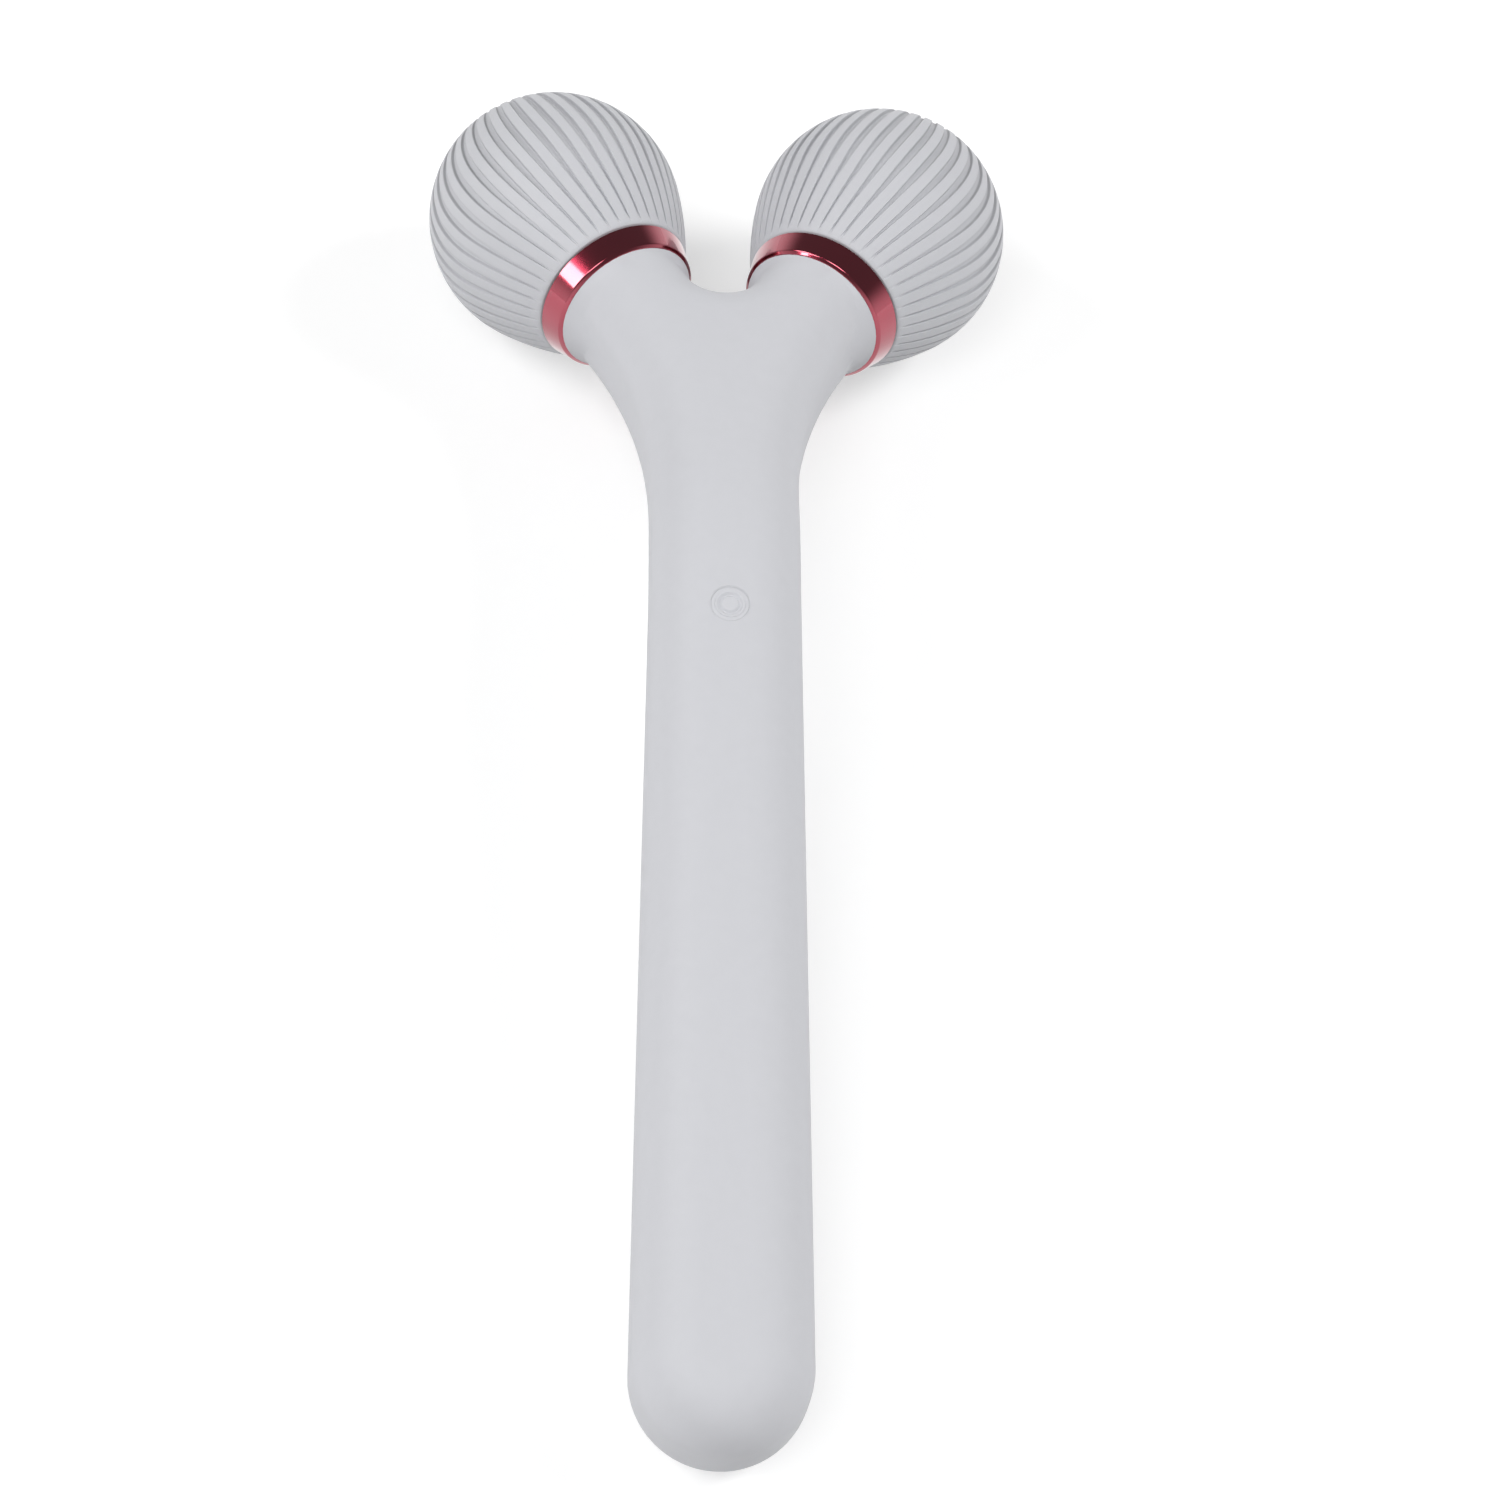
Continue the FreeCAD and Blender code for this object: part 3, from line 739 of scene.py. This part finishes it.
                    # painted shade for the grooves' colour, one value per point
                    grooves.append(min(shade * self.painted_shade_by_depth(form), 1.0))
        columns = len(points) // len(rows)
        faces = looped_faces(len(rows), columns, self.axle.mirrored)
        cover = new_piece(self.axle.side.label + "_ribbed_cover", points, faces, self.sharp)
        # the painted shade goes onto the cover as its groove attribute
        values = cover.data.attributes.new(Attribute.GROOVE.value, "FLOAT", "POINT")
        values.data.foreach_set("value", grooves)
        return cover

    def assemble(self, wardrobe: Wardrobe) -> None:
        """Builds, dresses and seats the roller's pieces.

        Args:
            wardrobe: Shared materials.
        """
        label = self.axle.side.label
        cover = self.build_cover()
        dress(cover, wardrobe.of(COVER_WITH_PAINTED_SHADE))
        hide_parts(label + "_roller_cover")
        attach(cover, label + "_roller")
        wardrobe.dress_nodes(CAP, [label + "_pole_cap"])
        wardrobe.dress_nodes(SHELL, [label + "_roller_core"])
        wardrobe.dress_nodes(BEARING, [label + "_neck_bush", label + "_tip_bush"])
        LOG.info("%s roller: %d faces on its cover", label, len(cover.data.polygons))


@dataclass(frozen=True)
class NeckRing:
    """Bright conical ring at the end of one arm, with the hub and axle behind it.

    Attributes:
        axle: Axis of the ring.
        near: Distance of the ring's wide end from the ball's centre.
        width: Length of the ring along the axis.
        neck_radius: Radius at the arm.
        ball_radius: Radius at the ball.
        wall: Thickness of the cone.
        web: Thickness of the ring's back.
        bore: Radius of the hole for the axle's hub.
        bevel: Width of the bright bevel at the arm.
        edge_round: Step by which each edge is eased, twice on each side.
        columns: Points round the axis.
    """

    axle: Axle
    near: float = 14.29 * MM
    width: float = 2.86 * MM
    neck_radius: float = 8.82 * MM
    ball_radius: float = 9.72 * MM
    wall: float = 1.6 * MM
    web: float = 0.8 * MM
    bore: float = 4.1 * MM
    bevel: float = 0.3 * MM
    edge_round: float = 0.06 * MM
    columns: int = 256

    def outline(self) -> list[Span]:
        """Closed profile of the ring, its edges eased.

        Returns:
            Radius and height of each point.
        """
        cone = (self.ball_radius - self.neck_radius) / self.width
        far = -self.near - self.width
        inner = self.ball_radius - self.wall
        corners = [
            (self.bore, far),
            (self.neck_radius - self.bevel, far),
            (self.neck_radius + cone * self.bevel, far + self.bevel),
            (self.ball_radius, -self.near),
            (inner, -self.near),
            (inner, far + self.web),
            (self.bore, far + self.web),
        ]
        points = []
        for index, corner in enumerate(corners):
            here = Vector(corner)
            before = (Vector(corners[index - 1]) - here).normalized() * self.edge_round
            after = (Vector(corners[(index + 1) % len(corners)]) - here).normalized() * self.edge_round
            points += [here + 2 * before, here + before, here + after, here + 2 * after]
        return [(point.x, point.y) for point in points]

    def build(self) -> bpy.types.Object:
        """Turns the ring's profile about the axle."""
        return self.axle.turned(self.axle.side.label + "_neck_ring", self.outline(), self.columns)

    def assemble(self, wardrobe: Wardrobe) -> None:
        """Builds, dresses and seats the ring and dresses what is behind it.

        Args:
            wardrobe: Shared materials.
        """
        label = self.axle.side.label
        ring = self.build()
        dress(ring, wardrobe.of(TRIM))
        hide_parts(label + "_trim_ring")
        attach(ring, "handle")
        wardrobe.dress_nodes(SHELL, [label + "_neck_hub"])
        wardrobe.dress_nodes(BEARING, [label + "_thrust_washer"])
        wardrobe.dress_nodes(STEEL, [label + "_axle", label + "_axle_clip"])
        LOG.info("%s neck ring", label)


@dataclass(frozen=True)
class Handle:
    """Forked handle: its soft skin, button, charging seat and all that is inside.

    Attributes:
        sharp: Angle in degrees from which an edge of the skin stays sharp.
        button_place: Middle of the button's top.
        button_radius: Radius of the button.
        button_gap: Slit round the button.
        button_depth: Height of the button below its top.
        button_round: How far the rounding of the button's edge reaches in and down.
        button_edge_steps: Steps round the button's edge.
        button_waves: Radius, width and height of the raised ring and of the dip inside it.
        button_stations: Rows of points from the rounding to the button's middle.
        seal_margin: Room between the seal and the button.
        seal_drop: How far the seal lies below the skin.
        seal_sag: How far its middle sags.
        seal_depth: How deep its walls go.
        columns: Points round the button's axis.
    """

    sharp: float = 35.0
    button_place: Place = (0.0, 4.3355 * MM, 28.3588 * MM)
    button_radius: float = 2.05 * MM
    button_gap: float = 0.15 * MM
    button_depth: float = 2.99 * MM
    button_round: Span = (0.4 * MM, 0.08 * MM)
    button_edge_steps: int = 8
    button_waves: tuple[tuple[float, float, float], ...] = (
        (1.55 * MM, 0.6 * MM, 0.08 * MM),
        (1.1 * MM, 0.66 * MM, -0.2 * MM),
    )
    button_stations: int = 80
    seal_margin: float = 0.015 * MM
    seal_drop: float = 0.05 * MM
    seal_sag: float = 0.01 * MM
    seal_depth: float = 0.4 * MM
    columns: int = 96

    def build_skin(self) -> bpy.types.Object:
        """Copies the skin's mesh with its seams welded, so that it shades as one moulding.

        Returns:
            The skin.
        """
        mesh = frame["nodes"]["handle_skin"].data.copy()
        weld(mesh)
        for name in SHADING_LAYERS:
            layer = mesh.attributes.get(name)
            if layer:
                mesh.attributes.remove(layer)
        smooth_shade(mesh, self.sharp)
        return placed("soft_skin", mesh)

    def button_axis(self) -> Axis:
        """Axis of the button, from where it is pressed."""
        along = Vector(joint_named("button_press")["axis"]).normalized()
        across = Vector((1.0, 0.0, 0.0))
        return Axis(Vector(self.button_place), along, across, along.cross(across))

    def build_button(self) -> bpy.types.Object:
        """Turns the round button with its soft raised ring and the dip inside it.

        Returns:
            The button.
        """
        reach, drop = self.button_round
        flat = self.button_radius - reach
        rows = [(0.0, -self.button_depth), (self.button_radius, -self.button_depth)]
        for step in range(self.button_edge_steps + 1):
            bend = math.pi / 2 * step / self.button_edge_steps
            rows.append((flat + reach * math.cos(bend), drop * (math.sin(bend) - 1)))
        for step in range(1, self.button_stations + 1):
            radius = flat * (1 - step / self.button_stations)
            rows.append((radius, self.button_wave(radius)))
        return self.button_axis().turned("soft_button", rows, self.columns)

    def button_wave(self, radius: float) -> float:
        """Height of the button's ring and dip at a radius."""
        return sum(
            height * eased(abs(radius - middle), width / 2, 0.0)
            for middle, width, height in self.button_waves
        )

    def build_seal(self) -> bpy.types.Object:
        """Turns the thin sagging web of silicone that closes the gap round the button.

        Returns:
            The seal.
        """
        inner, outer = self.button_radius + self.seal_margin, self.button_radius + self.button_gap
        rows = [
            (outer, -self.seal_depth),
            (outer, -self.seal_drop),
            ((inner + outer) / 2, -self.seal_drop - self.seal_sag),
            (inner, -self.seal_drop),
            (inner, -self.seal_depth),
        ]
        return self.button_axis().turned("button_seal", rows, self.columns)

    def assemble(self, wardrobe: Wardrobe) -> None:
        """Builds the skin, seal and button and dresses every piece of the handle.

        Args:
            wardrobe: Shared materials.
        """
        skin = self.build_skin()
        dress(skin, wardrobe.of(SKIN))
        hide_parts("handle_skin")
        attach(skin, "handle")
        seal = self.build_seal()
        dress(seal, wardrobe.of(SKIN))
        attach(seal, "handle")
        button = self.build_button()
        dress(button, wardrobe.of(BUTTON))
        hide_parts("button_cap")
        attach(button, "button")
        wardrobe.dress_nodes(SEAT, ["charge_socket"])
        wardrobe.dress_nodes(GOLD, ["charge_contacts"])
        wardrobe.dress_nodes(SHELL, ["chassis_front", "chassis_rear", "button_plunger"])
        wardrobe.dress_nodes(SHELL, ["board_tray", "battery_tray", "motor_cradle"])
        wardrobe.dress_nodes(RESIN, ["tact_switch", "driver_chip", "charge_chip"])
        wardrobe.dress_nodes(BOARD, ["circuit_board"])
        wardrobe.dress_nodes(CELL, ["battery"])
        wardrobe.dress_nodes(STEEL, ["battery_tabs", "motor_can", "motor_shaft", "motor_weight"])
        LOG.info("handle skin: %d faces", len(skin.data.polygons))


@dataclass(frozen=True)
class Lamp:
    """One soft box: its direction from the roller, its size, and whether bright pieces mirror it."""

    name: str
    place: Place
    width: float
    height: float
    power: float
    reflected: bool = True

    def hang(self, target: Vector) -> None:
        """Hangs the lamp, facing a target.

        Args:
            target: Point that the lamp faces.
        """
        data = bpy.data.lights.new(self.name, "AREA")
        data.shape = "ELLIPSE"
        data.size = self.width
        data.size_y = self.height
        data.energy = self.power
        lamp = placed(self.name, data)
        lamp.location = target + Vector(self.place)
        lamp.rotation_euler = Vector(self.place).to_track_quat("Z", "Y").to_euler()
        lamp.visible_glossy = self.reflected


@dataclass(frozen=True)
class Studio:
    """Pale floor, soft light and the camera.

    Attributes:
        camera_place: Where the camera stands.
        camera_target: What it looks at.
        camera_roll: Its turn about the line of sight, in degrees.
        camera_clip: Nearest and farthest distance that it sees.
        pixels_per_slope: Pixels per unit of slope off the line of sight.
        floor_half: Half the floor's side.
        floor_colour: Colour of the floor.
        floor_roughness: Roughness of the floor.
        floor_lift: Light that the floor adds near the roller.
        floor_far_lift: Light that it adds far away, so that it runs out into white.
        floor_reach: Distances at which the two lifts hold.
        sky_low: Strength of the sky round its edge.
        sky_high: Strength of the sky overhead.
        sky_heights: Heights on the sky at which the two strengths hold.
        lamps: Soft boxes.
    """

    camera_place: Place = (-26.565 * MM, -234.281 * MM, 347.161 * MM)
    camera_target: Place = (3.439 * MM, -8.415 * MM, 18.399 * MM)
    camera_roll: float = 8.377
    camera_clip: Span = (0.01, 20.0)
    pixels_per_slope: float = 3738.4
    floor_half: float = 4.0
    floor_colour: Colour = (0.6, 0.6, 0.6)
    floor_roughness: float = 0.9
    floor_lift: float = 0.515
    floor_far_lift: float = 0.9
    floor_reach: Span = (0.2, 1.0)
    sky_low: float = 1.0
    sky_high: float = 0.15
    sky_heights: Span = (0.05, 0.55)
    lamps: tuple[Lamp, ...] = (
        Lamp("front", (-0.22, -0.40, 0.85), 0.45, 0.45, 2.5),
        Lamp("side_right", (0.71, 0.12, 0.68), 0.36, 0.36, 4.7, reflected=False),
        Lamp("side_left", (-0.71, 0.16, 0.68), 0.36, 0.36, 2.25),
        Lamp("strip", (-0.72, -0.22, 0.62), 0.14, 0.6, 2.1),
    )

    def build(self) -> None:
        """Sets the whole studio."""
        self.lay_floor()
        for lamp in self.lamps:
            lamp.hang(Vector(self.camera_target))
        self.light_sky()
        self.place_camera()
        bpy.context.scene.view_settings.view_transform = "Standard"
        LOG.info("studio")

    def lay_floor(self) -> None:
        """Lays a pale floor that keeps the shadow and runs out into white."""
        half = self.floor_half
        sides = ((-half, -half), (half, -half), (half, half), (-half, half))
        corners = [Vector((x, y, 0.0)) for x, y in sides]
        floor = new_piece("floor", corners, [(0, 1, 2, 3)], PLAIN_SHARP)
        sheet = ShaderSheet("pale_floor")
        sheet.shader.inputs["Base Color"].default_value = (*self.floor_colour, 1.0)
        sheet.shader.inputs["Roughness"].default_value = self.floor_roughness
        away = sheet.add("ShaderNodeVectorMath", operation="LENGTH")
        sheet.join(sheet.place(), away.inputs[0])
        lift = sheet.ramp(away.outputs["Value"], (self.floor_lift, self.floor_far_lift), self.floor_reach)
        rays = sheet.add("ShaderNodeLightPath").outputs
        seen = sheet.combine("MAXIMUM", rays["Is Camera Ray"], rays["Is Glossy Ray"])
        seen = sheet.combine("MAXIMUM", seen, rays["Is Transmission Ray"])
        sheet.shader.inputs["Emission Color"].default_value = WHITE
        sheet.join(sheet.combine("MULTIPLY", seen, lift), sheet.shader.inputs["Emission Strength"])
        dress(floor, sheet.material)

    def light_sky(self) -> None:
        """Sets a sky that is bright round its edge and dim overhead."""
        world = bpy.data.worlds.new("studio_sky")
        bpy.context.scene.world = world
        world.use_nodes = True
        sheet = NodeSheet(world.node_tree)
        height = sheet.add("ShaderNodeSeparateXYZ")
        sheet.join(sheet.add("ShaderNodeTexCoord").outputs["Generated"], height.inputs["Vector"])
        strengths = (self.sky_low, self.sky_high)
        strength = sheet.ramp(height.outputs["Z"], strengths, self.sky_heights, smooth=True)
        background = sheet.tree.nodes["Background"]
        background.inputs["Color"].default_value = WHITE
        sheet.join(strength, background.inputs["Strength"])

    def place_camera(self) -> None:
        """Places the camera at the picture's viewing angle."""
        data = bpy.data.cameras.new("camera")
        data.sensor_width = SENSOR
        data.lens = SENSOR * self.pixels_per_slope / IMAGE_SIDE
        data.clip_start, data.clip_end = self.camera_clip
        camera = placed("camera", data)
        back = Vector(self.camera_place) - Vector(self.camera_target)
        turn = back.to_track_quat("Z", "Y").to_matrix()
        turn = turn @ Matrix.Rotation(math.radians(self.camera_roll), 3, "Z")
        camera.matrix_world = Matrix.Translation(Vector(self.camera_place)) @ turn.to_4x4()
        bpy.context.scene.camera = camera


def main() -> None:
    """Builds the roller and its studio in order."""
    logging.basicConfig(level=logging.INFO, format="%(name)s: %(message)s")
    wardrobe = Wardrobe()
    Handle().assemble(wardrobe)
    for side in Side:
        axle = Axle.of(side)
        NeckRing(axle).assemble(wardrobe)
        RibbedRoller(axle).assemble(wardrobe)
    Studio().build()


if __name__ == "__main__":
    main()
